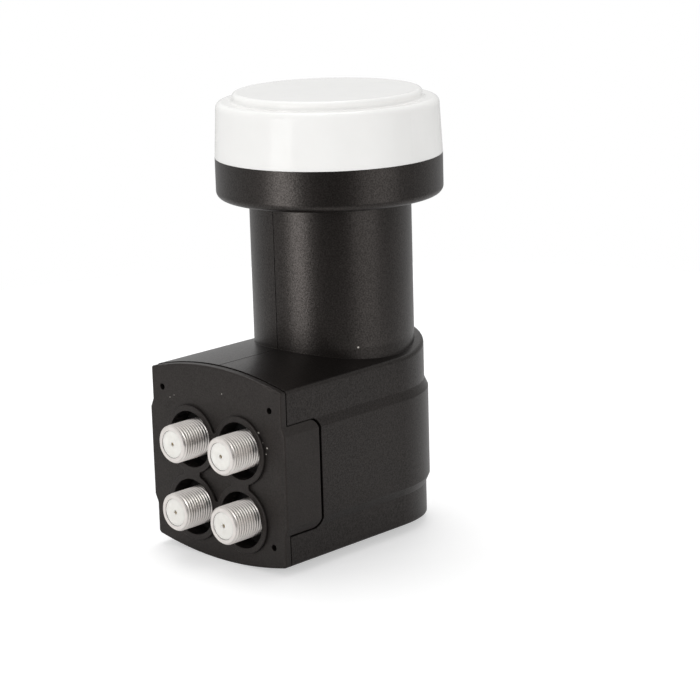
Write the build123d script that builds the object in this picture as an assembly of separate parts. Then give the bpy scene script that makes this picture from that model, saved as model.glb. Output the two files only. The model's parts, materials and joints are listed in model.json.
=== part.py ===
"""Satellite LNB with four outputs.

Millimetres. The origin is on the axis of the round neck, halfway along the stretch that a clamp holds.
+Z runs up the neck to the feed cap, and the four threaded outputs face -Y.
"""
import os
from math import cos, radians, sin, sqrt

from build123d import *

# Neck, collar and cap
neck_diameter = 40.0
neck_length = 35.6
neck_wall = 2.2
collar_diameter = 56.0
collar_height = 10.0
collar_wall = 2.2
collar_lip = 2.4
collar_round = 1.8
cup_wall = 1.9
cup_floor = 2.0
cap_side_height = 13.6
cap_draft = 0.7
cap_wall = 1.6
cap_roof = 1.8
cap_shoulder_round = 1.6
disc_diameter = 46.6
disc_height = 2.1
disc_round = 1.1
disc_foot_round = 0.9
sleeve_wall = 1.4
sleeve_lift = 0.5
slide_clearance = 0.1

# Body of the casing
body_width = 44.5
side_height = 42.75
top_crown = 3.05
bottom_crown = 2.55
front_reach = 41.6
edge_round = 1.0
casing_wall = 2.2
seam_gap = 0.2
lap_wall = 0.9
lap_width = 1.2
lap_clearance = 0.1
band_proud = 0.95
band_drop = 8.4
band_height = 26.6
band_slope = 2.1

# Front cover
cover_thickness = 1.7
cover_gap = 0.3
cover_edge_round = 0.45
cover_step = 0.2
tab_length = 11.5
tab_depth = 0.9
tab_corner = 2.2
tab_clearance = 0.2
tab_gap_rear = 0.8
tab_gap_above = 0.2
tab_gap_below = 0.45
lip_length = 2.5
lip_wall = 1.4
lip_clearance = 0.15
pinhole_diameter = 1.6
pinhole_from_side = 3.8
pinhole_from_top = 4.8
pinhole_from_bottom = 4.4

# Output ports
port_pitch_x = 16.8
port_pitch_z = 17.1
port_drop = 24.7
port_opening = 14.0
boss_lobe = 16.9
boss_waist = 5.6
boss_height = 0.85
boss_crotch_round = 0.6
boss_edge_round = 0.25
barrel_diameter = 9.4
barrel_reach = 6.85
barrel_bore = 6.8
barrel_tip_bevel = 0.4
relief_width = 0.8
relief_depth = 0.5
barrel_flange = 11.0
barrel_flange_thickness = 1.2
barrel_clearance = 0.05
insulator_setback = 0.15
insulator_clearance = 0.05
contact_hole = 1.0
contact_setback = 0.45
contact_bore = 0.5
contact_end = 1.6
contact_socket = 2.2
contact_tail = 6.5

# Casting inside the casing
chassis_clearance = 0.3
chassis_wall = 1.6
chassis_front_wall = 3.0
chassis_deck = 2.0
gasket_thickness = 1.2
gasket_margin = 1.5
gasket_grip = 0.2
waveguide_bore = 17.8
waveguide_wall = 2.1
waveguide_foot = 27.2
horn_clearance = 0.3
horn_height = 18.0
horn_floor = 2.0
horn_skirt = 4.7
horn_rim_wall = 2.6
corrugation_count = 3
corrugation_wall = 1.4
seal_section = 1.8
seal_squeeze = 0.05

# Boards and what is fixed to them
board_thickness = 1.0
board_clearance = 0.2
solder_gap = 0.05
ledge_height = 2.0
rf_ledge_width = 5.6
rf_board_lap = 1.6
if_ledge_width = 3.6
if_board_rear = 13.0
back_short_depth = 6.5
back_short_wall = 1.5
probe_length = 5.2
probe_width = 1.2
probe_thickness = 0.2
probe_clearance = 0.3
screw_diameter = 1.6
screw_grip = 4.0
screw_head_diameter = 2.6
screw_head_height = 1.0
screw_slot = 0.4
screw_clearance = 0.1
thread_clearance = 0.05
link_pin_count = 6
link_pin_pitch = 2.54
link_pin = 0.64
link_body_height = 6.0
link_body_depth = 2.5
link_from_axis = 21.0
chip_height = 1.0
chip_margin = 0.5
rf_chip_size = 4.0
rf_chip_inset = 3.0
crystal_length = 3.2
crystal_width = 2.5
switch_size = 6.0
regulator_length = 4.0
regulator_width = 3.0
regulator_from_axis_x = 9.0
regulator_from_axis_y = 6.0
if_screw_inset = 4.0
if_rear_screw = 4.0

# Lid of the casting
lid_thickness = 1.5
lid_gasket_thickness = 0.5
lid_boss_width = 3.2
lid_boss_depth = 3.8
lid_boss_height = 9.0
lid_rear_boss = 3.8

# Levels up the neck axis
neck_radius = neck_diameter / 2
collar_radius = collar_diameter / 2
collar_bottom = neck_length / 2
collar_top = collar_bottom + collar_height
cap_shoulder = collar_top + cap_side_height
cap_top = cap_shoulder + disc_height
body_half = body_width / 2
body_top = -neck_length / 2
top_corner = body_top - top_crown
bottom_corner = top_corner - side_height
band_top = top_corner - band_drop
band_bottom = band_top - band_height

# Crowned top and bottom of the body: arcs across its width, ruled from front to rear
top_radius = (body_half**2 + top_crown**2) / (2 * top_crown)
top_centre = body_top - top_radius
bottom_radius = (body_half**2 + bottom_crown**2) / (2 * bottom_crown)
bottom_centre = bottom_corner - bottom_crown + bottom_radius

# Layers behind the front face, along Y
cover_back = -front_reach + cover_thickness
casing_front = cover_back + cover_gap
well_back = cover_back + lip_length + cover_gap / 2
chassis_front = well_back + gasket_thickness
chassis_inner_front = chassis_front + chassis_front_wall
barrel_tip = -front_reach - barrel_reach
boss_face = -front_reach - boss_height

# Ports, counted from the upper left as seen from the front
port_centre = top_corner - port_drop
port_places = [(i * port_pitch_x / 2, port_centre + k * port_pitch_z / 2) for k in (1, -1) for i in (-1, 1)]
upper_port = port_centre + port_pitch_z / 2
lower_port = port_centre - port_pitch_z / 2

# Radii from the collar inwards
cup_outer = collar_radius - collar_wall - slide_clearance
cup_inner = cup_outer - cup_wall
horn_radius = cup_inner - horn_clearance
sleeve_inner = horn_radius + horn_clearance + slide_clearance
cup_floor_top = collar_bottom + cup_floor
cup_rim = collar_top - collar_lip
horn_mouth = cup_floor_top + horn_height
waveguide_radius = waveguide_bore / 2
waveguide_outer = waveguide_radius + waveguide_wall
foot_radius = waveguide_foot / 2

# Screened box
cavity_half = body_half - casing_wall
box_half = cavity_half - chassis_clearance
chamber_half = box_half - chassis_wall
cavity_top_corner = top_centre + sqrt((top_radius - casing_wall) ** 2 - cavity_half**2)
cavity_bottom_corner = bottom_centre - sqrt((bottom_radius - casing_wall) ** 2 - cavity_half**2)
box_top = cavity_top_corner - chassis_clearance
lid_bottom = cavity_bottom_corner + chassis_clearance
lid_top = lid_bottom + lid_thickness
box_rim = lid_top + lid_gasket_thickness
board_front = chassis_inner_front + lid_boss_depth + board_clearance
rf_top = upper_port - contact_hole / 2 - solder_gap
rf_bottom = rf_top - board_thickness
if_top = lower_port - contact_hole / 2 - solder_gap
if_bottom = if_top - board_thickness
rf_ledge_inner = chamber_half - rf_ledge_width
rf_half = rf_ledge_inner + rf_board_lap
if_ledge_inner = chamber_half - if_ledge_width
if_half = chamber_half - board_clearance
screw_radius = screw_diameter / 2
screw_head_radius = screw_head_diameter / 2
back_short_outer = waveguide_radius + back_short_wall
back_short_circle = back_short_outer + screw_head_radius + screw_clearance
back_short_flange = board_thickness * 2
if_screw_x = (if_ledge_inner + if_half) / 2
if_screw_rows = (board_front + if_screw_inset, -if_rear_screw)
if_screw_places = [(side * if_screw_x, y) for side in (-1, 1) for y in if_screw_rows]
lid_front_x = chamber_half - lid_boss_width / 2
lid_front_y = chassis_inner_front + lid_boss_depth / 2
lid_rear_y = chamber_half + chassis_wall / 2 - lid_rear_boss / 2
lid_screw_places = [(-lid_front_x, lid_front_y), (lid_front_x, lid_front_y), (0, lid_rear_y)]
far = 4 * front_reach


def span(x, y, z):
    """Box between pairs of low and high coordinates."""
    centre = Pos((x[0] + x[1]) / 2, (y[0] + y[1]) / 2, (z[0] + z[1]) / 2)
    return centre * Box(x[1] - x[0], y[1] - y[0], z[1] - z[0])


def rod(radius, bottom, top, x=0, y=0):
    """Upright cylinder."""
    return Pos(x, y, (bottom + top) / 2) * Cylinder(radius, top - bottom)


def rod_y(radius, front, rear, x, z):
    """Cylinder along Y."""
    return Pos(x, (front + rear) / 2, z) * Rot(90, 0, 0) * Cylinder(radius, rear - front)


def tube(outer, inner, bottom, top):
    """Upright ring about the neck axis."""
    return rod(outer, bottom, top) - rod(inner, bottom, top)


def turned(points, rounds=()):
    """Solid turned about the neck axis from (radius, height) points, with some corners rounded."""
    section = make_face(Polyline(*points, close=True))
    for point, radius in rounds:
        section = fillet(section.vertices().sort_by_distance(point)[0], radius)
    return revolve(Plane.XZ * section, axis=Axis.Z)


def d_plan(half, front):
    """Plan of the body: straight front and sides, rear half-round about the neck axis."""
    sides = Polyline((-half, 0), (-half, front), (half, front), (half, 0))
    rear = ThreePointArc((half, 0), (0, half), (-half, 0))
    return make_face(sides.edges() + rear.edges())


def d_block(half, front, bottom, top):
    """The body's plan carried up between two levels."""
    return extrude(Pos(0, 0, bottom) * d_plan(half, front), amount=top - bottom)


def crowned_profile(inset):
    """Front outline of the body, with crowned top and bottom, moved in by an even distance."""
    half = body_half - inset
    top_arc = top_radius - inset
    bottom_arc = bottom_radius - inset
    top = top_centre + sqrt(top_arc**2 - half**2)
    bottom = bottom_centre - sqrt(bottom_arc**2 - half**2)
    outline = [
        Line((-half, bottom), (-half, top)),
        ThreePointArc((-half, top), (0, top_centre + top_arc), (half, top)),
        Line((half, top), (half, bottom)),
        ThreePointArc((half, bottom), (0, bottom_centre - bottom_arc), (-half, bottom)),
    ]
    return make_face([line.edge() for line in outline])


def along_y(sketch, front, rear):
    """Carry a front-view sketch from one depth to another."""
    return extrude(Plane.XZ.offset(-rear) * sketch, amount=rear - front)


def crowned_block(inset, front, rear):
    """Crowned outline cut to the body's plan."""
    half = body_half - inset
    return along_y(crowned_profile(inset), front, rear) & d_block(half, front, -far, far)


def raised_band():
    """Band round the body, with sloped upper and lower edges."""
    levels = [
        (band_bottom, body_half),
        (band_bottom + band_slope, body_half + band_proud),
        (band_top - band_slope, body_half + band_proud),
        (band_top, body_half),
    ]
    plans = [Pos(0, 0, level) * d_plan(half, -front_reach) for level, half in levels]
    band = loft(plans[0:2], ruled=True)
    band += loft(plans[1:3], ruled=True)
    band += loft(plans[2:4], ruled=True)
    return band


def body_outside():
    """Whole outside of the body, front cover included."""
    block = crowned_block(0, -front_reach, body_half)
    crowns = block.faces().sort_by(Axis.Z)
    rims = crowns[0].edges() + crowns[-1].edges()
    front_rims = rims.group_by(Axis.Y)[0]
    block = fillet([edge for edge in rims if edge not in front_rims], edge_round)
    return block + raised_band()


def tab_sketch(rear_gap, gap_above, gap_below):
    """Side view of a cover tab, rounded at its rear corners."""
    front = -front_reach
    rear = front + tab_length + rear_gap
    bottom = band_bottom - gap_below
    top = band_top + gap_above
    outline = Pos((front + rear) / 2, (bottom + top) / 2) * Rectangle(rear - front, top - bottom)
    return fillet(outline.vertices().group_by(Axis.X)[-1], tab_corner)


def tab_block(side, inner, gaps):
    """Tab outline carried outwards from its inner face."""
    block = extrude(Plane.YZ.offset(inner) * tab_sketch(*gaps), amount=far)
    return block if side > 0 else mirror(block, about=Plane.YZ)


def clover():
    """Front view of the boss: four round lobes joined by narrow waists, open in the middle."""
    lobes = Sketch()
    for x, z in port_places:
        seam_turn = 0 if x < 0 else 180
        lobes += Pos(x, z) * Rot(0, 0, seam_turn) * Circle(boss_lobe / 2)
    for side in (-1, 1):
        lobes += Pos(side * port_pitch_x / 2, port_centre) * Rectangle(boss_waist, port_pitch_z)
        lobes += Pos(0, port_centre + side * port_pitch_z / 2) * Rectangle(port_pitch_x, boss_waist)
    return fillet(lobes.vertices(), boss_crotch_round)


def screw(x, y, seat, grip):
    """Slotted screw driven upwards, its head under the seat."""
    head_bottom = seat - screw_head_height
    body = rod(screw_head_radius, head_bottom, seat, x, y) + rod(screw_radius, seat, seat + grip, x, y)
    slot_half = screw_slot / 2
    slot = span(
        (x - screw_head_radius, x + screw_head_radius),
        (y - slot_half, y + slot_half),
        (head_bottom, head_bottom + screw_head_height / 2),
    )
    return body - slot


def screw_hole(x, y, bottom, top, clearance=screw_clearance):
    """Hole that a screw passes through."""
    return rod(screw_radius + clearance, bottom, top, x, y)


def feed_cap():
    """Weather cap with a raised disc on top and a sleeve inside that grips the seal."""
    disc = disc_diameter / 2
    shoulder_radius = collar_radius - cap_draft
    inner_shoulder = shoulder_radius - cap_wall
    roof = cap_shoulder - cap_roof
    disc_inner = disc - cap_roof
    ledge_width = shoulder_radius - disc
    points = [
        (0, cap_top - cap_roof),
        (disc_inner, cap_top - cap_roof),
        (disc_inner, roof),
        (inner_shoulder, roof),
        (collar_radius - cap_wall, collar_top),
        (collar_radius, collar_top),
        (shoulder_radius, cap_shoulder),
        (disc, cap_shoulder),
        (disc, cap_top),
        (0, cap_top),
    ]
    rounds = [
        ((shoulder_radius, cap_shoulder), min(cap_shoulder_round, ledge_width / 2)),
        ((disc, cap_shoulder), min(disc_foot_round, ledge_width / 4)),
        ((disc, cap_top), disc_round),
    ]
    sleeve = tube(sleeve_inner + sleeve_wall, sleeve_inner, collar_top + sleeve_lift, roof)
    return turned(points, rounds) + sleeve


def seal_level():
    """Height of the seal's groove on the horn's rim."""
    return (collar_top + sleeve_lift + horn_mouth) / 2


def cap_seal():
    """Rubber ring in the groove of the horn's rim."""
    half = seal_section / 2
    inner = sleeve_inner - seal_squeeze - seal_section
    level = seal_level()
    section = Pos(inner + half, level) * Circle(half)
    return revolve(Plane.XZ * section, axis=Axis.Z)


def collar_ring():
    """One-piece ring that holds the casing halves together, hung on the rim of their cup by a lip."""
    bore = collar_radius - collar_wall
    lip = cup_inner + slide_clearance
    points = [
        (bore, collar_bottom),
        (collar_radius, collar_bottom),
        (collar_radius, collar_top),
        (lip, collar_top),
        (lip, cup_rim),
        (bore, cup_rim),
    ]
    return turned(points, [((collar_radius, collar_bottom), collar_round)])


def casing_space(grow, rear):
    """Space inside the casing's body and neck, grown into the wall by an even distance."""
    body_space = crowned_block(casing_wall - grow, -far, rear)
    return body_space + rod(neck_radius - neck_wall + grow, top_corner - casing_wall, cup_floor_top)


def casing():
    """Both halves of the casing, before they are parted."""
    shell = body_outside() + rod(neck_radius, top_corner, cup_floor_top)
    shell += rod(cup_outer, collar_bottom, cup_rim)
    shell -= casing_space(0, cavity_half)
    shell -= rod(cup_inner, cup_floor_top, cup_rim)
    shell -= span((-far, far), (-far, casing_front), (-far, far))
    gaps = (tab_gap_rear, tab_gap_above, tab_gap_below)
    for side in (-1, 1):
        shell -= tab_block(side, body_half - tab_depth - tab_clearance, gaps)
    return shell


def seam_lap(shell, clearance):
    """Inner layer of the wall that the left half carries across the seam."""
    grow = lap_wall + clearance
    x = (-lap_width, lap_width + clearance)
    return shell & casing_space(grow, cavity_half + grow) & span(x, (-far, far), (-far, far))


def casing_left(shell):
    """Half of the casing with the lap."""
    half = shell & span((-far, -seam_gap / 2), (-far, far), (-far, far))
    return half + seam_lap(shell, 0)


def casing_right(shell):
    """Half of the casing with a step for the lap."""
    half = shell & span((seam_gap / 2, far), (-far, far), (-far, far))
    return half - seam_lap(shell, lap_clearance)


def front_cover():
    """Front plate, a step below the crown, with side tabs, an inner lip and a clover boss of port wells."""
    outside = body_outside()
    plate = outside & span((-far, far), (-far, cover_back), (-far, far))
    crown = Pos(0, 0, -cover_step) * along_y(crowned_profile(0), -front_reach, cover_back)
    plate -= span((-far, far), (-front_reach, cover_back), (top_corner - cover_step, far)) - crown
    plate = fillet(plate.faces().sort_by(Axis.Y)[0].outer_wire().edges(), cover_edge_round)
    hole_x = body_half - pinhole_from_side
    for x in (-hole_x, hole_x):
        for z in (top_corner - pinhole_from_top, bottom_corner + pinhole_from_bottom):
            plate -= rod_y(pinhole_diameter / 2, -front_reach, cover_back, x, z)
    cover = plate
    lip_inset = casing_wall + lip_clearance
    lip = crowned_profile(lip_inset) - crowned_profile(lip_inset + lip_wall)
    cover += along_y(lip, cover_back, cover_back + lip_length)
    behind_edge = span((-far, far), (-front_reach + cover_edge_round, far), (-far, far))
    for side in (-1, 1):
        cover += outside & tab_block(side, body_half - tab_depth, (0, 0, 0)) & behind_edge
    boss = along_y(clover(), boss_face, well_back)
    boss = fillet(boss.faces().sort_by(Axis.Y)[0].outer_wire().edges(), boss_edge_round)
    cover += boss
    for x, z in port_places:
        cover -= rod_y(port_opening / 2, boss_face, well_back, x, z)
    return cover


def front_gasket():
    """Rubber sheet behind the port wells, with a hole for each connector."""
    reach_x = port_pitch_x / 2 + boss_lobe / 2
    reach_z = port_pitch_z / 2 + boss_lobe / 2
    low = max(port_centre - reach_z - gasket_margin, lid_bottom)
    high = port_centre + reach_z + gasket_margin
    reach = reach_x + gasket_margin
    sheet = span((-reach, reach), (well_back, chassis_front), (low, high))
    for x, z in port_places:
        sheet -= rod_y(barrel_diameter / 2 + gasket_grip, well_back, chassis_front, x, z)
    return sheet


def horn():
    """Feed horn with concentric corrugations, and the round waveguide below it."""
    floor_bottom = cup_floor_top + horn_skirt
    floor_top = floor_bottom + horn_floor
    solid = rod(horn_radius, cup_floor_top, horn_mouth)
    solid -= rod(horn_radius - horn_rim_wall, cup_floor_top, floor_bottom)
    solid += rod(waveguide_outer, box_top, horn_mouth)
    corrugated = horn_radius - horn_rim_wall - waveguide_radius
    pitch = corrugated / corrugation_count
    for i in range(corrugation_count):
        groove_inner = waveguide_radius + i * pitch + corrugation_wall
        solid -= tube(waveguide_radius + (i + 1) * pitch, groove_inner, floor_top, horn_mouth)
    groove_half = seal_section / 2 + slide_clearance
    groove_floor = sleeve_inner - seal_squeeze * 2 - seal_section
    level = seal_level()
    return solid - tube(horn_radius, groove_floor, level - groove_half, level + groove_half)


def back_short_places():
    """Screws round the foot of the waveguide."""
    turns = [radians(angle) for angle in (45, 135, 225, 315)]
    return [(back_short_circle * cos(turn), back_short_circle * sin(turn)) for turn in turns]


def screw_ears(bottom, top):
    """Rounds about the screws of the waveguide's foot, which keep them in a foot of any size."""
    ear = screw_head_radius + screw_clearance
    return [rod(ear, bottom, top, x, y) for x, y in back_short_places()]


def ledge(inner, bottom):
    """Shelf along the sides and rear of the box that a board is screwed up against."""
    top = bottom + ledge_height
    shelf = d_block(chamber_half, board_front, bottom, top)
    return shelf - d_block(inner, board_front, bottom, top)


def lid_bosses():
    """Three bosses that take the lid's screws."""
    x = (chamber_half - lid_boss_width, chamber_half)
    y = (chassis_inner_front, chassis_inner_front + lid_boss_depth)
    z = (box_rim, box_rim + lid_boss_height)
    right = span(x, y, z)
    rear = rod(lid_rear_boss / 2, *z, 0, lid_rear_y)
    return right + mirror(right, about=Plane.YZ) + rear


def chassis():
    """Die casting: feed horn, waveguide and screened box, open at the bottom."""
    box = d_block(box_half, chassis_front, box_rim, box_top)
    box += span((-box_half, box_half), (chassis_front, chassis_inner_front), (lid_bottom, box_top))
    box -= d_block(chamber_half, chassis_inner_front, box_rim, box_top - chassis_deck)
    box += ledge(rf_ledge_inner, rf_top) + ledge(if_ledge_inner, if_top) + lid_bosses()
    casting = box + rod(foot_radius, rf_top, box_top) + screw_ears(rf_top, box_top) + horn()
    casting -= rod(waveguide_radius, rf_top, horn_mouth)
    flange_front = chassis_inner_front - barrel_flange_thickness
    for x, z in port_places:
        casting -= rod_y(barrel_diameter / 2 + barrel_clearance, chassis_front, chassis_inner_front, x, z)
        casting -= rod_y(barrel_flange / 2 + barrel_clearance, flange_front, chassis_inner_front, x, z)
    for x, y in back_short_places():
        casting -= screw_hole(x, y, rf_top, rf_top + screw_grip, thread_clearance)
    for x, y in if_screw_places:
        casting -= screw_hole(x, y, if_top, if_top + ledge_height, thread_clearance)
    for x, y in lid_screw_places:
        casting -= screw_hole(x, y, box_rim, box_rim + screw_grip, thread_clearance)
    return casting


def lid_gasket():
    """Rubber ring between the box and its lid."""
    front = chassis_inner_front + board_clearance
    ring = d_block(box_half, front, lid_top, box_rim)
    ring -= d_block(chamber_half, front + chassis_wall, lid_top, box_rim)
    pads = [span(
        (side * lid_front_x - lid_boss_width / 2, side * lid_front_x + lid_boss_width / 2),
        (front, chassis_inner_front + lid_boss_depth),
        (lid_top, box_rim),
    ) for side in (-1, 1)]
    ring += pads[0] + pads[1] + rod(lid_rear_boss / 2, lid_top, box_rim, 0, lid_rear_y)
    for x, y in lid_screw_places:
        ring -= screw_hole(x, y, lid_top, box_rim)
    return ring


def chassis_lid():
    """Plate under the box, its screw heads sunk flush."""
    plate = d_block(box_half, chassis_inner_front + board_clearance, lid_bottom, lid_top)
    for x, y in lid_screw_places:
        plate -= screw_hole(x, y, lid_bottom, lid_top)
        head = screw_head_radius + screw_clearance
        plate -= rod(head, lid_bottom, lid_bottom + screw_head_height, x, y)
    return plate


def lid_screws():
    """Screws that close the box."""
    seat = lid_bottom + screw_head_height
    grip = box_rim - seat + screw_grip - thread_clearance
    return [screw(x, y, seat, grip) for x, y in lid_screw_places]


def rf_board():
    """Upper board, across the end of the waveguide."""
    board = d_block(rf_half, board_front, rf_bottom, rf_top) + screw_ears(rf_bottom, rf_top)
    for x, y in back_short_places():
        board -= screw_hole(x, y, rf_bottom, rf_top)
    return board


def back_short():
    """Cup that closes the waveguide below the board."""
    bottom = rf_bottom - back_short_depth - back_short_wall
    flange_bottom = rf_bottom - back_short_flange
    cup = rod(foot_radius, flange_bottom, rf_bottom) + screw_ears(flange_bottom, rf_bottom)
    cup += rod(back_short_outer, bottom, rf_bottom)
    cup -= rod(waveguide_radius, rf_bottom - back_short_depth, rf_bottom)
    for x, y in back_short_places():
        cup -= screw_hole(x, y, flange_bottom, rf_bottom)
    return cup


def back_short_screws():
    """Screws that hold the cup and the board to the waveguide's foot."""
    seat = rf_bottom - back_short_flange
    grip = back_short_flange + board_thickness + screw_grip - thread_clearance
    return [screw(x, y, seat, grip) for x, y in back_short_places()]


def probe(turn):
    """Pick-up strip on the board, reaching in from the waveguide's wall."""
    outer = waveguide_radius - probe_clearance
    half = probe_width / 2
    strip = span((outer - probe_length, outer), (-half, half), (rf_top, rf_top + probe_thickness))
    return Rot(0, 0, turn) * strip


def chip(x, y, width, depth, bottom, height=chip_height):
    """Package on a board."""
    return span((x - width / 2, x + width / 2), (y - depth / 2, y + depth / 2), (bottom, bottom + height))


def rf_chips():
    """Amplifiers and mixers under the upper board."""
    size = rf_chip_size
    chip_x = rf_half - rf_chip_inset - size / 2
    rear_y = -foot_radius - chip_margin - size / 2
    front_y = board_front + chip_margin + size / 2
    level = rf_bottom - chip_height
    return [chip(side * chip_x, y, size, size, level) for side in (-1, 1) for y in (front_y, rear_y)]


def crystal_can():
    """Reference crystal under the upper board."""
    y = board_front + chip_margin + crystal_width / 2
    return chip(0, y, crystal_length, crystal_width, rf_bottom - chip_height)


def if_board():
    """Lower board, with the outputs' switch."""
    board = d_block(if_half, board_front, if_bottom, if_top)
    board -= span((-far, far), (if_board_rear, far), (-far, far))
    for x, y in if_screw_places:
        board -= screw_hole(x, y, if_bottom, if_top)
    return board


def if_chips():
    """Switch and two regulators on the lower board."""
    switch_y = -link_from_axis + link_body_depth / 2 + chip_margin + switch_size / 2
    chips = [chip(0, switch_y, switch_size, switch_size, if_top)]
    for x in (-regulator_from_axis_x, regulator_from_axis_x):
        chips.append(chip(x, -regulator_from_axis_y, regulator_length, regulator_width, if_top))
    return chips


def if_board_screws():
    """Screws that hold the lower board to its ledge."""
    grip = board_thickness + ledge_height - thread_clearance
    return [screw(x, y, if_bottom, grip) for x, y in if_screw_places]


def link_places():
    """Pins of the header between the boards."""
    first = -link_pin_pitch * (link_pin_count - 1) / 2
    return [first + i * link_pin_pitch for i in range(link_pin_count)]


def link_body():
    """Moulded part of the header, standing on the lower board."""
    half = link_pin_pitch * link_pin_count / 2
    depth = link_body_depth / 2
    y = (-link_from_axis - depth, -link_from_axis + depth)
    body = span((-half, half), y, (if_top, if_top + link_body_height))
    hole = link_pin / 2 + solder_gap
    hole_y = (-link_from_axis - hole, -link_from_axis + hole)
    for x in link_places():
        body -= span((x - hole, x + hole), hole_y, (if_top, rf_bottom))
    return body


def link_pins():
    """Pins of the header, from board to board."""
    half = link_pin / 2
    y = (-link_from_axis - half, -link_from_axis + half)
    return [span((x - half, x + half), y, (if_top, rf_bottom)) for x in link_places()]


def f_barrel(x, z):
    """Connector body: free thread, relief groove at its foot, and a flange sunk in the box's front wall."""
    radius = barrel_diameter / 2
    flange_front = chassis_inner_front - barrel_flange_thickness
    body = rod_y(radius, barrel_tip, chassis_inner_front, x, z)
    body = chamfer(body.edges().sort_by(Axis.Y)[0], barrel_tip_bevel)
    groove = (well_back - relief_width, well_back, x, z)
    body -= rod_y(barrel_flange / 2, *groove) - rod_y(radius - relief_depth, *groove)
    body += rod_y(barrel_flange / 2, flange_front, chassis_inner_front, x, z)
    return body - rod_y(barrel_bore / 2, barrel_tip, chassis_inner_front, x, z)


def f_insulator(x, z):
    """White plug in the connector, with a small entry hole and a bore for the contact."""
    radius = barrel_bore / 2 - insulator_clearance
    face = barrel_tip + insulator_setback
    plug = rod_y(radius, face, chassis_inner_front, x, z)
    plug -= rod_y(contact_hole / 2, face, chassis_inner_front, x, z)
    socket_radius = contact_socket / 2 + insulator_clearance
    return plug - rod_y(socket_radius, face + contact_setback, chassis_inner_front, x, z)


def f_contact(x, z):
    """Centre contact: a sprung socket in the plug, and a tail that lies on a board."""
    face = barrel_tip + insulator_setback + contact_setback
    tail_end = chassis_inner_front + contact_tail
    socket = rod_y(contact_socket / 2, face, chassis_inner_front, x, z)
    socket -= rod_y(contact_bore / 2, face, chassis_inner_front - contact_end, x, z)
    return socket + rod_y(contact_hole / 2, chassis_inner_front, tail_end, x, z)


def as_part(shape):
    """One solid, or a group of separate solids, ready to write."""
    if isinstance(shape, list):
        return Compound(children=[solid for piece in shape for solid in piece.solids()])
    return shape


def main():
    shell = casing()
    nodes = {
        "feed_cap": feed_cap(),
        "cap_seal": cap_seal(),
        "collar_ring": collar_ring(),
        "casing_left": casing_left(shell),
        "casing_right": casing_right(shell),
        "front_cover": front_cover(),
        "front_gasket": front_gasket(),
        "chassis": chassis(),
        "chassis_lid": chassis_lid(),
        "lid_gasket": lid_gasket(),
        "lid_screws": lid_screws(),
        "rf_board": rf_board(),
        "probe_vertical": probe(90),
        "probe_horizontal": probe(0),
        "back_short": back_short(),
        "back_short_screws": back_short_screws(),
        "rf_chips": rf_chips(),
        "crystal_can": crystal_can(),
        "if_board": if_board(),
        "if_chips": if_chips(),
        "if_board_screws": if_board_screws(),
        "link_body": link_body(),
        "link_pins": link_pins(),
    }
    for number, (x, z) in enumerate(port_places, start=1):
        nodes[f"f_barrel_{number}"] = f_barrel(x, z)
        nodes[f"f_insulator_{number}"] = f_insulator(x, z)
        nodes[f"f_contact_{number}"] = f_contact(x, z)
    os.makedirs("parts", exist_ok=True)
    for name, shape in nodes.items():
        export_step(as_part(shape), f"parts/{name}.step")


main()
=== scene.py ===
"""Looks of the satellite LNB: finishes, threaded connectors, studio light and camera.

Metres, +Z up the neck.
"""
import json
from collections import namedtuple
from math import cos, pi, radians, sin

import bmesh
import bpy
from mathutils import Matrix, Vector


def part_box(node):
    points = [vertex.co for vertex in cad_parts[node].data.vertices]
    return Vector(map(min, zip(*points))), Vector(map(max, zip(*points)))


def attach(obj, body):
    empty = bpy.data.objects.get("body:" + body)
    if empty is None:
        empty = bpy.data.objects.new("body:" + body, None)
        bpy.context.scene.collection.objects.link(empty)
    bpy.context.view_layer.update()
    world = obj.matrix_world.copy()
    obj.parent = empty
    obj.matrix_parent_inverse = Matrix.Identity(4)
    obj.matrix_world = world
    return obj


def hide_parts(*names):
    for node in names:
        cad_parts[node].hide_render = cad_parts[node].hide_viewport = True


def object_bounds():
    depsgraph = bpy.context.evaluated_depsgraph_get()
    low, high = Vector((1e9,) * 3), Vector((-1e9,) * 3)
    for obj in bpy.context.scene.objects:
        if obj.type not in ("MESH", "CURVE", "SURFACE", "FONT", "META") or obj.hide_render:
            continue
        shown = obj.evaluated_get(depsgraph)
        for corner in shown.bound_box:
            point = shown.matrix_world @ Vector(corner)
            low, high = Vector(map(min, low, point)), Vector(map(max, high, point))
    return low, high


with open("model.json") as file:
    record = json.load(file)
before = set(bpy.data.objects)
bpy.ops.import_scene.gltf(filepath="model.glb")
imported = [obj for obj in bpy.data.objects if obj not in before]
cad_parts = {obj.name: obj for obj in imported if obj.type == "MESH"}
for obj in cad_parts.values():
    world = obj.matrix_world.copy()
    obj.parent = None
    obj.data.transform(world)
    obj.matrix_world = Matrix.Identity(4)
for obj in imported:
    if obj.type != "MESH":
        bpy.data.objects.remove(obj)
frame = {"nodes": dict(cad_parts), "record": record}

MM = 0.001
cad_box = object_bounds()

# Camera, fitted to the neck, the cap's seam and the edges of the body
CAMERA_AZIMUTH = radians(44.12)
CAMERA_ELEVATION = radians(13.36)
CAMERA_DISTANCE = 581.7 * MM
CAMERA_PIVOT = -17.17 * MM
AIM_RIGHT = 3.81 * MM
AIM_UP = -4.80 * MM
CAMERA_ROLL = radians(-1.644)
CLIP_START = 10 * MM
SENSOR_WIDTH = 36.0
FOCAL_PIXELS = 2327.8
IMAGE_WIDTH = 700

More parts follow.
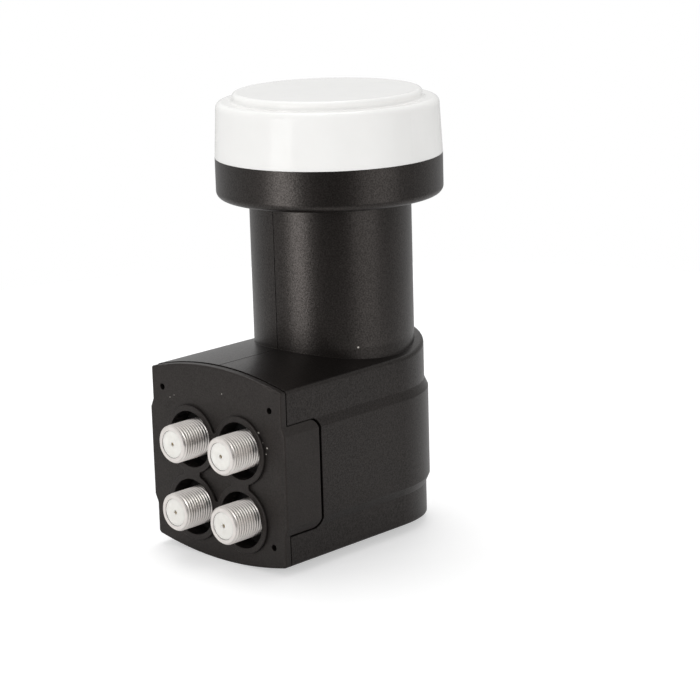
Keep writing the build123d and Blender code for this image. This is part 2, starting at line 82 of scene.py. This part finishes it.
# Connectors, with a 3/8-32 UNEF thread
PORT_COUNT = 4
THREAD_PITCH = 25.4 / 32 * MM
THREAD_DEPTH = 0.46 * MM
THREAD_ROWS = 12
THREAD_GROOVE = 0.85
THREAD_RADIUS = 4.7 * MM
THREAD_LENGTH = 10.4 * MM
RELIEF_WIDTH = 0.8 * MM
RELIEF_DEPTH = 0.5 * MM
TIP_BEVEL = 0.4 * MM
TIP_EDGE = 0.08 * MM
ROUND_STEPS = 96
BORE_RADIUS = 3.4 * MM
FLANGE_THICKNESS = 1.2 * MM
WELD_DISTANCE = 1e-7
SHARP_ANGLE = radians(40)

# Stage: a white studio, dark only near the camera, over a round pale table
FLOOR_RADIUS = 0.26
FLOOR_SETBACK = 0.06
FLOOR_COLOUR = (0.70, 0.70, 0.70, 1)
FLOOR_ROUGHNESS = 0.7
FLOOR_GLOSS = 0.2
FLOOR_GLOW = 0.45
FLOOR_GLOW_REFLECTED = 0.05
SKY_LEVEL = 0.61
WHITE_LEVEL = 1.0
DARK_AZIMUTH = radians(54)
DARK_ELEVATION = radians(-40)
STUDIO_LEVELS = ((0.0, 1.0), (0.12, 0.58), (0.45, 0.54), (0.62, 0.34), (0.72, 0.30), (0.89, 0.02))

# Softboxes: azimuth and elevation in degrees, distance, width and height in metres, power in watts
LAMPS = {
    "key": (-3, 3, 0.60, 0.24, 0.46, 1.5),
    "fill": (92, 8, 0.60, 0.42, 0.46, 0.95),
    "top": (-125, 70, 0.80, 0.45, 0.45, 2.7),
}
LAMP_AIM = Vector((0, 0, -0.01))

# Colours, linear
BLACK_PLASTIC = (0.0056, 0.0047, 0.0043)
BLACK_PLASTIC_LIFT = (0.0078, 0.0064, 0.0058)
PLATE_BLACK = (0.0082, 0.0068, 0.0062)
PLATE_BLACK_LIFT = (0.0110, 0.0092, 0.0084)
BLACK_SHEEN = (1.0, 0.91, 0.86, 1)
CAP_WHITE = (0.88, 0.875, 0.86)
CAP_WHITE_LOW = (0.86, 0.855, 0.838)
NICKEL = (0.97, 0.92, 0.88)
NICKEL_LOW = (0.91, 0.86, 0.82)
# Painted shade laid into the thread's grooves, not a colour of the nickel itself
NICKEL_GROOVE_PAINTED_SHADE = (0.050, 0.042, 0.037, 1)
INSULATOR_WHITE = (0.87, 0.853, 0.808)
INSULATOR_LOW = (0.82, 0.802, 0.755)
BRASS = (0.72, 0.55, 0.27)
BRASS_LOW = (0.55, 0.40, 0.20)
RUBBER = (0.0040, 0.0034, 0.0030)
RUBBER_LIFT = (0.0070, 0.0060, 0.0054)
CAST_METAL = (0.55, 0.55, 0.56)
CAST_METAL_LOW = (0.44, 0.44, 0.45)
STEEL = (0.55, 0.55, 0.55)
STEEL_LOW = (0.42, 0.42, 0.42)
BOARD_GREEN = (0.020, 0.110, 0.040)
BOARD_GREEN_LOW = (0.012, 0.080, 0.030)
CHIP_BLACK = (0.020, 0.020, 0.021)
CHIP_BLACK_LIFT = (0.030, 0.030, 0.031)
SPECK = (0.55, 0.52, 0.48, 1)

# Gloss of the black mouldings, duller on the body than on the neck, and their soft edge
GLOSS_GRAIN = 0.34 * MM
GRAIN_GLOSS = (0.33, 0.69)
PLATE_GLOSS = (0.33, 0.48)
BODY_GLOSS_SHARE = 0.75
BODY_TOP = -17.4 * MM
BODY_TOP_BLEND = 0.6 * MM
BLACK_IOR = 1.5
EDGE_RADIUS = 0.2 * MM

# Light goes equally deep into the white mouldings in every colour
EVEN_DEPTH = (1, 1, 1)

# Pale specks on the black plastic: place and radius in millimetres
NECK_SPECKS = (((17.44, -9.78, -16.81), 0.30),)
PLATE_SPECKS = (
    ((2.55, -41.60, -24.12), 0.16), ((-15.88, -41.60, -27.88), 0.14), ((-14.40, -41.60, -27.13), 0.10),
    ((14.75, -41.80, -31.56), 0.30), ((16.04, -41.80, -33.77), 0.22), ((17.32, -41.60, -34.88), 0.24),
    ((16.95, -41.60, -36.40), 0.16),
)

# Stretches of the noise, or of the open sky over a groove, that go from one end of a finish to the other
WHOLE = (0.0, 1.0)
COLOUR_SPREAD = (0.35, 0.65)
SPARKLE_SPREAD = (0.32, 0.68)
# Range of open sky over a groove across which the painted groove shade fades out
PAINTED_GROOVE_SHADE_SPREAD = (0.40, 0.62)
FINE_DETAIL = 2.0
COLOUR_DETAIL = 3.0

# Sockets of the Mix node that belong to colours
MIX_FACTOR, MIX_FIRST, MIX_SECOND, MIX_RESULT = 0, 6, 7, 2

Bump = namedtuple("Bump", "grain depth strength")


def grey(level):
    return (level, level, level, 1)


def blend(tree, factor, first, second):
    """Colour that goes from the first to the second; each is a socket or a colour."""
    mix = tree.nodes.new("ShaderNodeMix")
    mix.data_type = "RGBA"
    tree.links.new(factor, mix.inputs[MIX_FACTOR])
    for socket, colour in ((MIX_FIRST, first), (MIX_SECOND, second)):
        if isinstance(colour, bpy.types.NodeSocket):
            tree.links.new(colour, mix.inputs[socket])
        else:
            mix.inputs[socket].default_value = colour
    return mix.outputs[MIX_RESULT]


def map_range(tree, value, source, target=WHOLE):
    """Value taken from one range to another and held at its ends."""
    node = tree.nodes.new("ShaderNodeMapRange")
    for socket, end in zip(("From Min", "From Max", "To Min", "To Max"), (*source, *target)):
        node.inputs[socket].default_value = end
    tree.links.new(value, node.inputs["Value"])
    return node.outputs["Result"]


class Finish:
    """A procedural material: one Principled shader with noise in its colour, roughness and bump."""

    def __init__(self, name):
        self.material = bpy.data.materials.new(name)
        self.material.use_nodes = True
        self.tree = self.material.node_tree
        self.shader = self.tree.nodes["Principled BSDF"]
        self.place = self.add("ShaderNodeTexCoord").outputs["Object"]

    def add(self, kind):
        return self.tree.nodes.new(kind)

    def link(self, source, target):
        self.tree.links.new(source, target)

    def set(self, **values):
        for socket, value in values.items():
            self.shader.inputs[socket.replace("_", " ")].default_value = value

    def drive(self, socket, source):
        self.link(source, self.shader.inputs[socket])

    def driver_of(self, socket):
        """Socket that drives one of the shader's so far."""
        return self.shader.inputs[socket].links[0].from_socket

    def noise(self, grain, detail=FINE_DETAIL):
        """Noise whose features are about grain metres across."""
        node = self.add("ShaderNodeTexNoise")
        node.inputs["Scale"].default_value = 1 / grain
        node.inputs["Detail"].default_value = detail
        self.link(self.place, node.inputs["Vector"])
        return node.outputs["Fac"]

    def colour(self, grain, low, high):
        """Let noise blend two colours."""
        node = self.add("ShaderNodeValToRGB")
        for stop, position, colour in zip(node.color_ramp.elements, COLOUR_SPREAD, (low, high)):
            stop.position = position
            stop.color = (*colour, 1)
        self.link(self.noise(grain, COLOUR_DETAIL), node.inputs["Fac"])
        self.drive("Base Color", node.outputs["Color"])

    def specks(self, marks):
        """Small pale marks at places on the surface, over the colour set before."""
        for place, radius in marks:
            apart = self.add("ShaderNodeVectorMath")
            apart.operation = "DISTANCE"
            apart.inputs[1].default_value = [value * MM for value in place]
            self.link(self.place, apart.inputs[0])
            inside = map_range(self.tree, apart.outputs["Value"], (radius * MM, radius * MM / 2))
            self.drive("Base Color", blend(self.tree, inside, self.driver_of("Base Color"), SPECK))

    def paint_groove_shade(self, colour, reach):
        """Paint shade into grooves about as wide as a reach, over the colour set before: painted shade,
        darkest where ambient occlusion finds the groove closed in.
        """
        node = self.add("ShaderNodeAmbientOcclusion")
        node.inputs["Distance"].default_value = reach
        openness = map_range(self.tree, node.outputs["AO"], PAINTED_GROOVE_SHADE_SPREAD)
        self.drive("Base Color", blend(self.tree, openness, colour, self.driver_of("Base Color")))

    def vary(self, socket, grain, low, high, spread=WHOLE):
        """Let noise drive a value of the shader between two levels."""
        self.drive(socket, map_range(self.tree, self.noise(grain), spread, (low, high)))

    def roughness(self, grain, low, high):
        self.vary("Roughness", grain, low, high)

    def sparkle(self, grain, low, high):
        """Uneven gloss of a grained surface."""
        self.vary("Specular IOR Level", grain, low, high, SPARKLE_SPREAD)

    def dull_below(self, height, blend_height, share):
        """Scale the gloss set before by a share on what lies below a height."""
        parts = self.add("ShaderNodeSeparateXYZ")
        self.link(self.place, parts.inputs["Vector"])
        zone = map_range(self.tree, parts.outputs["Z"], (height, height + blend_height), (share, 1.0))
        scaled = self.add("ShaderNodeMath")
        scaled.operation = "MULTIPLY"
        self.link(self.driver_of("Specular IOR Level"), scaled.inputs[0])
        self.link(zone, scaled.inputs[1])
        self.drive("Specular IOR Level", scaled.outputs["Value"])

    def soft_edge(self, radius):
        """Normal that is rounded over the edges of the mesh."""
        node = self.add("ShaderNodeBevel")
        node.inputs["Radius"].default_value = radius
        return node.outputs["Normal"]

    def bump(self, *layers, edge=0.0):
        """Stack bumps over edges softened by a radius."""
        normal = self.soft_edge(edge) if edge else None
        for layer in layers:
            node = self.add("ShaderNodeBump")
            node.inputs["Strength"].default_value = layer.strength
            node.inputs["Distance"].default_value = layer.depth
            self.link(self.noise(layer.grain), node.inputs["Height"])
            if normal:
                self.link(normal, node.inputs["Normal"])
            normal = node.outputs["Normal"]
        self.drive("Normal", normal)


def grained_plastic():
    """Spark-eroded black moulding of the casing, neck and collar."""
    finish = Finish("grained_black")
    finish.set(IOR=BLACK_IOR, Specular_Tint=BLACK_SHEEN)
    finish.colour(grain=9 * MM, low=BLACK_PLASTIC, high=BLACK_PLASTIC_LIFT)
    finish.specks(NECK_SPECKS)
    finish.roughness(grain=0.5 * MM, low=0.29, high=0.40)
    finish.sparkle(GLOSS_GRAIN, *GRAIN_GLOSS)
    finish.dull_below(BODY_TOP, BODY_TOP_BLEND, BODY_GLOSS_SHARE)
    fine = Bump(grain=0.46 * MM, depth=0.03 * MM, strength=0.8)
    coarse = Bump(grain=0.9 * MM, depth=0.02 * MM, strength=0.2)
    finish.bump(fine, coarse, edge=EDGE_RADIUS)
    return finish.material


def plate_plastic():
    """Smoother matte black of the front cover."""
    finish = Finish("matte_black")
    finish.set(IOR=BLACK_IOR, Specular_Tint=BLACK_SHEEN)
    finish.colour(grain=7 * MM, low=PLATE_BLACK, high=PLATE_BLACK_LIFT)
    finish.specks(PLATE_SPECKS)
    finish.roughness(grain=1.2 * MM, low=0.42, high=0.52)
    finish.sparkle(GLOSS_GRAIN, *PLATE_GLOSS)
    fine = Bump(grain=0.40 * MM, depth=0.02 * MM, strength=0.5)
    wavy = Bump(grain=6 * MM, depth=0.05 * MM, strength=0.15)
    finish.bump(fine, wavy, edge=EDGE_RADIUS)
    return finish.material


def cap_plastic():
    """Glossy white moulding of the feed cap."""
    finish = Finish("cap_white")
    finish.set(IOR=1.49, Specular_IOR_Level=0.16)
    finish.set(Subsurface_Weight=0.15, Subsurface_Scale=2 * MM, Subsurface_Radius=EVEN_DEPTH)
    finish.colour(grain=14 * MM, low=CAP_WHITE_LOW, high=CAP_WHITE)
    finish.roughness(grain=3 * MM, low=0.10, high=0.16)
    finish.bump(Bump(grain=9 * MM, depth=0.05 * MM, strength=0.10))
    return finish.material


def plated_nickel():
    """Bright plate on turned connector bodies, with painted shade darkening the thread's grooves."""
    finish = Finish("nickel_plate")
    finish.set(Metallic=1.0)
    finish.colour(grain=1.6 * MM, low=NICKEL_LOW, high=NICKEL)
    # Painted shade: the thread's grooves are darkened in the colour where they are closed in
    finish.paint_groove_shade(NICKEL_GROOVE_PAINTED_SHADE, reach=THREAD_PITCH)
    finish.roughness(grain=0.7 * MM, low=0.28, high=0.36)
    finish.bump(Bump(grain=0.3 * MM, depth=0.004 * MM, strength=0.08))
    return finish.material


def white_insulator():
    """Waxy white plug in the connectors."""
    finish = Finish("insulator_white")
    finish.set(IOR=1.45)
    finish.set(Subsurface_Weight=0.6, Subsurface_Scale=1 * MM, Subsurface_Radius=EVEN_DEPTH)
    finish.colour(grain=1.5 * MM, low=INSULATOR_LOW, high=INSULATOR_WHITE)
    finish.roughness(grain=0.8 * MM, low=0.40, high=0.55)
    finish.bump(Bump(grain=0.5 * MM, depth=0.01 * MM, strength=0.3))
    return finish.material


def plain_finish(name, colours, grain, rough, depth, metallic=0.0, gloss=0.5):
    """Finish of a piece inside the casing."""
    finish = Finish(name)
    finish.set(Metallic=metallic, Specular_IOR_Level=gloss)
    finish.colour(grain, *colours)
    finish.roughness(grain / 2, *rough)
    finish.bump(Bump(grain / 3, depth, strength=0.4))
    return finish.material


def finishes():
    """Material of each slot in the record."""
    return {
        "white_cap": cap_plastic(),
        "black_plastic": grained_plastic(),
        "nickel": plated_nickel(),
        "white_insulator": white_insulator(),
        "contact_brass": plain_finish(
            "contact_brass", (BRASS_LOW, BRASS),
            grain=1 * MM, rough=(0.2, 0.35), depth=0.005 * MM, metallic=1.0,
        ),
        "cast_metal": plain_finish(
            "cast_metal", (CAST_METAL_LOW, CAST_METAL),
            grain=2 * MM, rough=(0.4, 0.6), depth=0.05 * MM, metallic=1.0,
        ),
        "rubber": plain_finish(
            "black_rubber", (RUBBER, RUBBER_LIFT),
            grain=2 * MM, rough=(0.65, 0.8), depth=0.03 * MM, gloss=0.2,
        ),
        "screw_steel": plain_finish(
            "screw_steel", (STEEL_LOW, STEEL),
            grain=1 * MM, rough=(0.25, 0.4), depth=0.005 * MM, metallic=1.0,
        ),
        "board": plain_finish(
            "solder_mask", (BOARD_GREEN_LOW, BOARD_GREEN),
            grain=4 * MM, rough=(0.3, 0.45), depth=0.01 * MM,
        ),
        "chip_black": plain_finish(
            "chip_black", (CHIP_BLACK, CHIP_BLACK_LIFT),
            grain=1 * MM, rough=(0.5, 0.7), depth=0.01 * MM,
        ),
    }


def dress(piece, material):
    piece.data.materials.clear()
    piece.data.materials.append(material)


def thread_radius(along, turn):
    """Radius of the thread at a distance from the tip and a turn from 0 to 1, cut back by the tip's bevel."""
    from_groove = abs((along / THREAD_PITCH - turn) % 1 - 0.5)
    cut = max(0, 1 - 2 * from_groove / THREAD_GROOVE)
    return min(THREAD_RADIUS - THREAD_DEPTH * cut, THREAD_RADIUS - TIP_BEVEL + along)


def barrel_rings(length, flange):
    """Rings of (radius, distance) round a connector body, and which of them climb with its thread."""
    tip = [(BORE_RADIUS, length), (BORE_RADIUS, TIP_EDGE), (BORE_RADIUS + TIP_EDGE, 0)]
    rings = [[ring] * ROUND_STEPS for ring in tip]
    rows = int((THREAD_LENGTH / THREAD_PITCH + 1) * THREAD_ROWS) + 2
    for row in range(rows):
        ring = []
        for step in range(ROUND_STEPS):
            turn = step / ROUND_STEPS
            along = min(max((row / THREAD_ROWS + turn - 1) * THREAD_PITCH, 0), THREAD_LENGTH)
            ring.append((thread_radius(along, turn), along))
        rings.append(ring)
    groove = THREAD_RADIUS - RELIEF_DEPTH
    shank = THREAD_LENGTH + RELIEF_WIDTH
    seat = length - FLANGE_THICKNESS
    foot = [(groove, THREAD_LENGTH), (groove, shank), (THREAD_RADIUS, shank), (THREAD_RADIUS, seat)]
    foot += [(flange, seat), (flange, length)]
    return rings + [[ring] * ROUND_STEPS for ring in foot], range(len(tip), len(tip) + rows)


def turned_on(ring, climbing):
    """Ring that a ring meets after a full turn: a thread's row has climbed by one pitch."""
    return min(ring + THREAD_ROWS, climbing[-1]) if ring in climbing else ring


def barrel_faces(ring_count, climbing):
    """Faces between neighbouring rings, closed through the bore."""
    last_step = ROUND_STEPS - 1
    faces = []
    for ring in range(ring_count):
        following = (ring + 1) % ring_count
        patches = [
            [(ring, step), (ring, step + 1), (following, step + 1), (following, step)]
            for step in range(last_step)
        ]
        patches.append([
            (ring, last_step), (turned_on(ring, climbing), 0),
            (turned_on(following, climbing), 0), (following, last_step),
        ])
        faces += [[row * ROUND_STEPS + step for row, step in patch] for patch in patches]
    return faces


def threaded_barrel(name, material):
    """Connector body with a real helical thread, in place of its plain solid."""
    low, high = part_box(name)
    x, z = (low[0] + high[0]) / 2, (low[2] + high[2]) / 2
    tip = low[1]
    rings, climbing = barrel_rings(high[1] - tip, (high[0] - low[0]) / 2)
    points = []
    for ring in rings:
        for step, (radius, along) in enumerate(ring):
            angle = 2 * pi * step / ROUND_STEPS
            points.append((x + radius * cos(angle), tip + along, z + radius * sin(angle)))
    mesh = bpy.data.meshes.new(name + "_threaded")
    mesh.from_pydata(points, [], barrel_faces(len(rings), climbing))
    piece = bpy.data.objects.new(name + "_threaded", mesh)
    bpy.context.collection.objects.link(piece)
    clean(mesh)
    dress(piece, material)
    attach(piece, "root")
    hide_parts(name)


def clean(mesh):
    """Weld coincident points, drop empty faces, face outwards and shade smooth below an angle."""
    work = bmesh.new()
    work.from_mesh(mesh)
    bmesh.ops.remove_doubles(work, verts=work.verts, dist=WELD_DISTANCE)
    bmesh.ops.dissolve_degenerate(work, edges=work.edges, dist=WELD_DISTANCE)
    bmesh.ops.recalc_face_normals(work, faces=work.faces)
    work.to_mesh(mesh)
    work.free()
    mesh.shade_smooth()
    mesh.set_sharp_from_angle(angle=SHARP_ANGLE)


def direction(azimuth, elevation):
    """Unit vector towards a place round the object; azimuth 0 is the front."""
    return Vector((sin(azimuth) * cos(elevation), -cos(azimuth) * cos(elevation), sin(elevation)))


def camera_axes():
    """Place and axes of the camera."""
    out = direction(CAMERA_AZIMUTH, CAMERA_ELEVATION)
    right = Vector((cos(CAMERA_AZIMUTH), sin(CAMERA_AZIMUTH), 0))
    up = out.cross(right)
    place = CAMERA_DISTANCE * out
    back = (place - AIM_RIGHT * right - AIM_UP * up).normalized()
    level = Vector((0, 0, 1)).cross(back).normalized()
    upright = back.cross(level)
    turned_right = cos(CAMERA_ROLL) * level + sin(CAMERA_ROLL) * upright
    turned_up = cos(CAMERA_ROLL) * upright - sin(CAMERA_ROLL) * level
    return place + Vector((0, 0, CAMERA_PIVOT)), turned_right, turned_up, back


def add_camera():
    data = bpy.data.cameras.new("camera")
    data.sensor_width = SENSOR_WIDTH
    data.lens = FOCAL_PIXELS * SENSOR_WIDTH / IMAGE_WIDTH
    data.clip_start = CLIP_START
    camera = bpy.data.objects.new("camera", data)
    bpy.context.collection.objects.link(camera)
    place, right, up, back = camera_axes()
    matrix = Matrix((right, up, back)).transposed().to_4x4()
    matrix.translation = place
    camera.matrix_world = matrix
    bpy.context.scene.camera = camera


def add_softbox(name, azimuth, elevation, distance, width, height, power):
    """Rectangular studio light that faces the object."""
    data = bpy.data.lights.new(name, "AREA")
    data.shape = "RECTANGLE"
    data.size, data.size_y = width, height
    data.energy = power
    lamp = bpy.data.objects.new(name, data)
    bpy.context.collection.objects.link(lamp)
    lamp.location = LAMP_AIM + distance * direction(radians(azimuth), radians(elevation))
    lamp.rotation_euler = (lamp.location - LAMP_AIM).to_track_quat("Z", "Y").to_euler()


def seen_by(tree, *rays):
    """1 for rays of the named kinds, 0 for others."""
    path = tree.nodes.new("ShaderNodeLightPath")
    seen = path.outputs[rays[0]]
    for ray in rays[1:]:
        either = tree.nodes.new("ShaderNodeMath")
        either.operation = "MAXIMUM"
        tree.links.new(seen, either.inputs[0])
        tree.links.new(path.outputs[ray], either.inputs[1])
        seen = either.outputs[0]
    return seen


def studio_level(tree):
    """Brightness of the studio in reflections, from white behind the object to dark near the camera."""
    towards = tree.nodes.new("ShaderNodeVectorMath")
    towards.operation = "DOT_PRODUCT"
    towards.inputs[1].default_value = direction(DARK_AZIMUTH, DARK_ELEVATION)
    tree.links.new(tree.nodes.new("ShaderNodeTexCoord").outputs["Generated"], towards.inputs[0])
    ramp = tree.nodes.new("ShaderNodeValToRGB")
    stops = ramp.color_ramp.elements
    stops.remove(stops[1])
    for position, level in STUDIO_LEVELS:
        stop = stops[0] if position == 0 else stops.new(position)
        stop.color = grey(level)
    tree.links.new(map_range(tree, towards.outputs["Value"], (-1, 1)), ramp.inputs["Fac"])
    return ramp.outputs["Color"]


def add_world():
    """Even soft light, the studio in reflections, and white to the eye."""
    world = bpy.data.worlds.new("studio")
    world.use_nodes = True
    tree = world.node_tree
    light = blend(tree, seen_by(tree, "Is Glossy Ray"), grey(SKY_LEVEL), studio_level(tree))
    direct = seen_by(tree, "Is Camera Ray", "Is Transmission Ray")
    tree.links.new(blend(tree, direct, light, grey(WHITE_LEVEL)), tree.nodes["Background"].inputs["Color"])
    bpy.context.scene.world = world


def floor_material():
    """Pale table that keeps the object's shadow and is white to the eye."""
    material = bpy.data.materials.new("pale_floor")
    material.use_nodes = True
    tree = material.node_tree
    shader = tree.nodes["Principled BSDF"]
    shader.inputs["Base Color"].default_value = FLOOR_COLOUR
    shader.inputs["Roughness"].default_value = FLOOR_ROUGHNESS
    shader.inputs["Specular IOR Level"].default_value = FLOOR_GLOSS
    shader.inputs["Emission Color"].default_value = grey(WHITE_LEVEL)
    glow = blend(tree, seen_by(tree, "Is Glossy Ray"), grey(0), grey(FLOOR_GLOW_REFLECTED))
    direct = seen_by(tree, "Is Camera Ray", "Is Transmission Ray")
    tree.links.new(blend(tree, direct, glow, grey(FLOOR_GLOW)), shader.inputs["Emission Strength"])
    return material


def add_floor():
    """Round table that the object stands on."""
    level = cad_box[0][2]
    centre = -FLOOR_SETBACK * direction(CAMERA_AZIMUTH, 0)
    rim = []
    for step in range(ROUND_STEPS):
        turn = 2 * pi * step / ROUND_STEPS
        rim.append((centre.x + FLOOR_RADIUS * cos(turn), centre.y + FLOOR_RADIUS * sin(turn), level))
    mesh = bpy.data.meshes.new("floor")
    mesh.from_pydata(rim, [], [range(ROUND_STEPS)])
    floor = bpy.data.objects.new("floor", mesh)
    bpy.context.collection.objects.link(floor)
    dress(floor, floor_material())


def main():
    materials = finishes()
    slots = {part["node"]: part["material_slot"] for part in frame["record"]["subparts"]}
    for node, piece in frame["nodes"].items():
        dress(piece, materials[slots[node]])
    dress(frame["nodes"]["front_cover"], plate_plastic())
    for number in range(1, PORT_COUNT + 1):
        threaded_barrel(f"f_barrel_{number}", materials["nickel"])
    add_floor()
    add_world()
    for name, placing in LAMPS.items():
        add_softbox(name, *placing)
    add_camera()
    bpy.context.scene.view_settings.view_transform = "Standard"


main()
